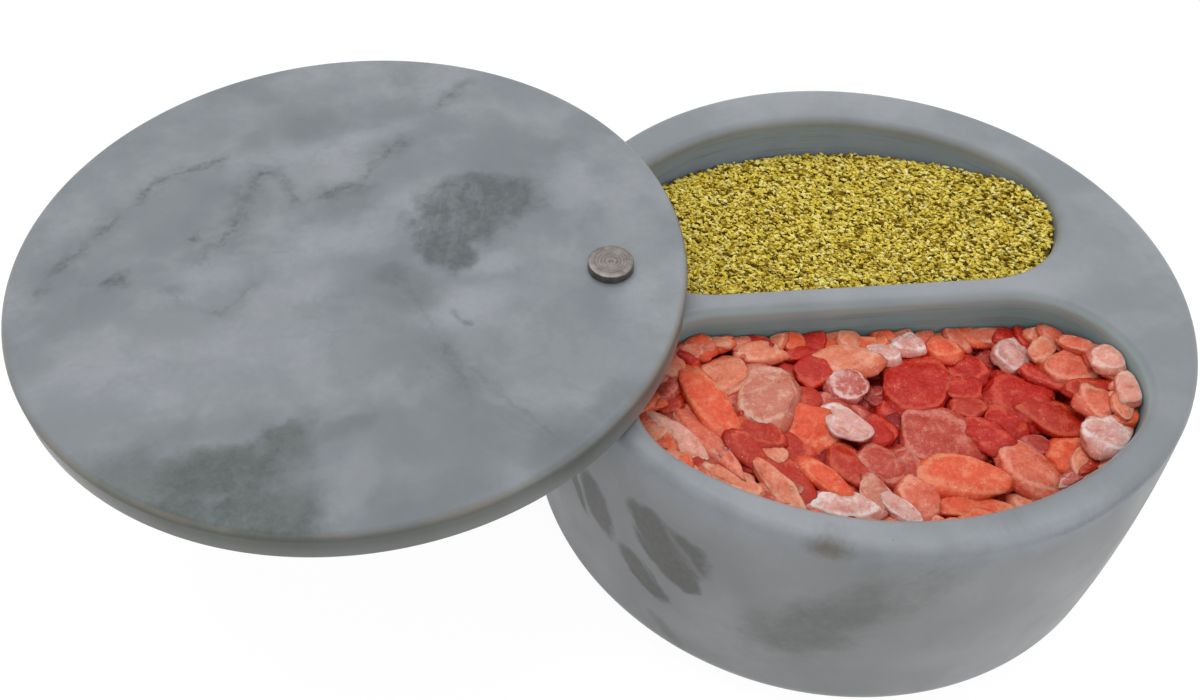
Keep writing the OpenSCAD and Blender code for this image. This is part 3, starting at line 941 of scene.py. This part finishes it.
salt = {
    "seed": 5, "under": 3.6 * mm, "wallGap": 0.35 * mm,
    "thick": 0.5, "thinnest": 1.1 * mm, "thickest": 2.2 * mm,    # thick is a share of the width
    "longer": 1.1, "wider": 1.12, "step": 0.55 * mm, "tip": 0.05, "levelAt": 20 * mm,
    "layers": ((80, ("shade", "shade", "mauve"), 2.8 * mm), (80, ("shade", "red", "shade", "mauve"), 1.9 * mm)),
    "rowInset": 2.2 * mm, "rowDrop": 0.6, "rowTones": ("salmon", "orange", "red", "salmon", "peach"),
    "leftCount": 40, "leftEnd": -22 * mm, "leftDrop": 0.9,    # drops in millimetres
    "leftTones": ("peach", "salmon", "orange", "rose", "brick"),
    "looseLength": (2.4 * mm, 4.8 * mm), "looseWidth": (0.5, 0.8), "looseThick": 0.3, "looseTip": 0.14,
}
crystal = {
    "sides": (5, 9), "uneven": 0.3, "undercut": (-0.05, 0.6), "sideReach": (0.82, 1.02),
    "tops": 3, "topLean": 0.42, "topReach": (0.54, 0.68), "lowReach": 0.7,
    "hard": 9, "ripple": 0.05,    # how crisp its edges are, how far its faces wave
    "waves": (2, 3, 4, 6, 8, 11, 15, 20), "calmer": (1, 1.4, 1.8, 2.4, 3, 4, 5, 6),
}


def saltFinish():
    f = Finish("rockSalt")
    body, thin = f.attribute("body", "Color"), f.attribute("thin", "Color")
    deep = f.mix(1.0, body, (0.76, 0.4, 0.32, 1.0), "MULTIPLY")
    haze = f.noise(f.place, 2.8, 5, 0.62)
    fine = f.noise(f.place, 0.75, 5, 0.72)
    tone = f.mix(f.step(haze, 0.5, 0.3, 0, 0.75), body, deep)
    tone = f.mix(f.step(fine, 0.5, 0.32, 0, 0.34), tone, deep)
    tone = f.mix(f.step(haze, 0.52, 0.7, 0, 0.6), tone, thin)
    tone = f.mix(f.step(fine, 0.53, 0.7, 0, 0.4), tone, thin)
    frost = f.math("ADD", f.attribute("frost"), f.times(f.math("SUBTRACT", fine, 0.5), 1.2))
    tone = f.mix(f.step(frost, 0.25, 0.85, 0, 0.85), tone, thin)
    # painted shade: each chip's lower side turns to the deep tone
    tone = f.mix(f.attribute("under"), tone, deep)
    cracks = f.math("ABSOLUTE", f.math("SUBTRACT", f.noise(f.place, 2.2, 3, 0.5), 0.5))
    tone = f.mix(f.times(f.step(cracks, 0.02, 0, 0.0, 0.55), f.step(fine, 0.42, 0.55)), tone, thin)
    # painted highlight: tiny pale glints in the colour
    paintedGlints = f.times(f.step(f.cells(f.place, 0.75), 0.2, 0.08), f.step(haze, 0.51, 0.58, 0, 0.55))
    tone = f.mix(paintedGlints, tone, srgb(250, 224, 212))
    height = f.noise(f.place, 0.9, 5, 0.7)
    f.set(Base_Color=tone, Roughness=f.step(height, 0.35, 0.65, 0.14, 0.4), Normal=f.bump(height, 0.25))
    f.set(Subsurface_Weight=0.35, Subsurface_Scale=0.001, Subsurface_Radius=(1.0, 0.2, 0.12),
          Specular_IOR_Level=0.25)
    return f.material


def crystalShape(rng, ball):
    # a flat chip: broken sides, a top of a few soft facets, sides frosted where they are thin, and a share that
    # darkens its lower side as painted shade
    c = crystal
    sides, tops, hard = int(rng.integers(*c["sides"])), c["tops"], c["hard"]
    turns = (np.arange(sides) + rng.uniform(-c["uneven"], c["uneven"], sides)) * 2 * math.pi / sides
    turns += rng.uniform(0, 6)
    planes = np.stack([np.cos(turns), np.sin(turns), rng.uniform(*c["undercut"], sides)], 1)
    leans = [rng.normal(0, c["topLean"], tops) for i in range(2)]
    planes = np.concatenate([planes, np.stack([*leans, np.ones(tops)], 1), [[0, 0, -1]]])
    reach = [rng.uniform(*c["sideReach"], sides), rng.uniform(*c["topReach"], tops), [c["lowReach"]]]
    planes /= np.linalg.norm(planes, axis=1)[:, None]
    cut = np.maximum(ball @ planes.T / np.concatenate(reach), 0) ** hard
    radius = (cut.sum(1) + 0.05) ** (-1 / hard)
    waves = rng.normal(size=(len(c["waves"]), 3)) * np.array(c["waves"])[:, None]
    ripple = np.sin(ball @ waves.T + rng.uniform(0, 6, len(waves))) @ (c["ripple"] / np.array(c["calmer"]))
    shape = ball * (radius * (1 + ripple))[:, None]
    out = np.clip(np.hypot(shape[:, 0], shape[:, 1]), 0, 1)
    edge = np.exp(-((shape[:, 2] - 0.3) / 0.14) ** 2) * (0.35 + 0.65 * out ** 2)
    return shape, edge, np.clip((0.16 - shape[:, 2]) / 0.3, 0, 1) * 0.8


def makeSalt():
    s = salt
    spec = pockets["front"]
    material = saltFinish()
    shade = speckled("saltShade", 3.0, 0.7, srgb(92, 4, 2), srgb(128, 18, 9), 0.4, Roughness=0.6,
                     Specular_IOR_Level=0.1)
    makeFill("saltBed", spec, saltLevel, shade, s["under"])
    rng = np.random.default_rng(s["seed"])
    fine, coarse = ballMesh(4), ballMesh(3)
    lumps = []

    def addCrystal(x, y, top, along, across, thick, tone, ball, tip):
        shape, edge, under = crystalShape(rng, ball[0])
        up = along.normalized().cross(across.normalized())
        up *= math.copysign(1, up.z)
        tilt = Matrix.Rotation(rng.normal(0, tip), 3, along) @ Matrix.Rotation(rng.normal(0, tip), 3, across)
        axes = np.array([tilt @ along, tilt @ across, (tilt @ up) * thick])
        placed = shape @ axes + np.array([x, y, 0])
        placed[:, 2] += top - placed[:, 2].max()
        placed[:, :2] = keepInside(spec, s["wallGap"], placed[:, :2])
        colours = [np.tile(srgb(*colour), (len(placed), 1)) for colour in saltTones[tone]]
        lumps.append((placed, ball[1] + sum(len(lump[0]) for lump in lumps), edge, under, *colours))

    def addLoose(x, y, top, tones):
        size = rng.uniform(*s["looseLength"])
        turn = rng.uniform(0, math.pi)
        along = Vector((math.cos(turn), math.sin(turn), 0)) * size
        across = Vector((-math.sin(turn), math.cos(turn), 0)) * size * rng.uniform(*s["looseWidth"])
        tone = tones[int(rng.integers(len(tones)))]
        addCrystal(x, y, top, along, across, size * s["looseThick"], tone, coarse, s["looseTip"])

    for count, tones, lower in s["layers"]:    # deeper, darker ones first
        for x, y in scatter(rng, spec, s["wallGap"], count):
            addLoose(x, y, saltLevel(x) - lower, tones)
    for x, y in pocketOutline(spec, s["rowInset"], 0.5, 14):    # a row along the wall
        addLoose(x, y, saltLevel(x) - rng.uniform(0, s["rowDrop"]) * mm, s["rowTones"])
    for x, y in scatter(rng, spec, s["wallGap"], s["leftCount"], s["leftEnd"]):    # under the lid
        addLoose(x, y, saltLevel(x) - rng.uniform(0, s["leftDrop"]) * mm, s["leftTones"])
    for px, py, length, width, lean, tone, rank in saltPicks:
        level = saltLevel(underPixel(px, py, saltLevel(s["levelAt"])).x)
        middle = underPixel(px, py, level)
        c, d = math.cos(math.radians(lean)), math.sin(math.radians(lean))
        along = underPixel(px + c * length / 2, py + d * length / 2, level) - middle
        across = underPixel(px - d * width / 2, py + c * width / 2, level) - middle
        across -= along * (across.dot(along) / along.length_squared) * 0.5
        thick = min(max(across.length * s["thick"], s["thinnest"]), s["thickest"])
        addCrystal(middle.x, middle.y, level + (rank - 1) * s["step"], along * s["longer"], across * s["wider"],
                   thick, tone, fine, s["tip"])

    points, faces, frost, under, body, thin = [np.concatenate(values) for values in zip(*lumps)]
    crystals = meshPiece("saltCrystals", points.tolist(), faces.tolist(), material)
    smooth(crystals)
    pointValues(crystals, "frost", frost)
    pointValues(crystals, "under", under)
    pointValues(crystals, "body", body, colour=True)
    pointValues(crystals, "thin", thin, colour=True)
    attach(crystals, "base")


makeSalt()
print("salt piled")


# Floor, light

light = {"floorGlow": 1.06, "floorShare": 0.9, "backdrop": 1.0, "dim": 0.464, "aim": (0, 0, 0.03)}


def makeFloor():
    f = Finish("paleFloor")
    f.set(Base_Color=srgb(236, 237, 239), Roughness=0.9, Specular_IOR_Level=0.1)
    share = f.times(f.seenDirectly(), light["floorShare"])
    blend = f.add("MixShader", share, f.shader.outputs[0], f.shining("Emission", light["floorGlow"]))
    f.put(f.out.inputs["Surface"], blend.outputs[0])
    reach = 2.0
    corners = [(-reach, -reach, 0), (reach, -reach, 0), (reach, reach, 0), (-reach, reach, 0)]
    floor = meshPiece("floor", corners, [[0, 1, 2, 3]], f.material)


def makeWorld():
    world = bpy.data.worlds.new("studio")
    world.use_nodes = True
    n = Nodes(world.node_tree)
    dim, white = n.shining("Background", light["dim"]), n.shining("Background", light["backdrop"])
    blend = n.add("MixShader", n.seenDirectly(), dim, white)
    n.put(n.add("OutputWorld").inputs["Surface"], blend.outputs[0])
    scene.world = world


def makeLamp(name, place, size, watts):
    data = bpy.data.lights.new(name, "AREA")
    data.shape = "DISK"
    data.size = size
    data.energy = watts
    lamp = bpy.data.objects.new(name, data)
    lamp.location = place
    lamp.rotation_euler = (Vector(light["aim"]) - Vector(place)).to_track_quat("-Z", "Y").to_euler()
    scene.collection.objects.link(lamp)


makeFloor()
makeWorld()
makeLamp("overheadSoft", (-0.15, 0.25, 0.95), 0.9, 5.0)
makeLamp("frontSoft", (-0.5, -0.6, 0.6), 0.6, 0.8)
makeLamp("rightSoft", (0.7, -0.45, 0.4), 0.5, 1.1)

scene.view_settings.view_transform = "Standard"

print("ready")
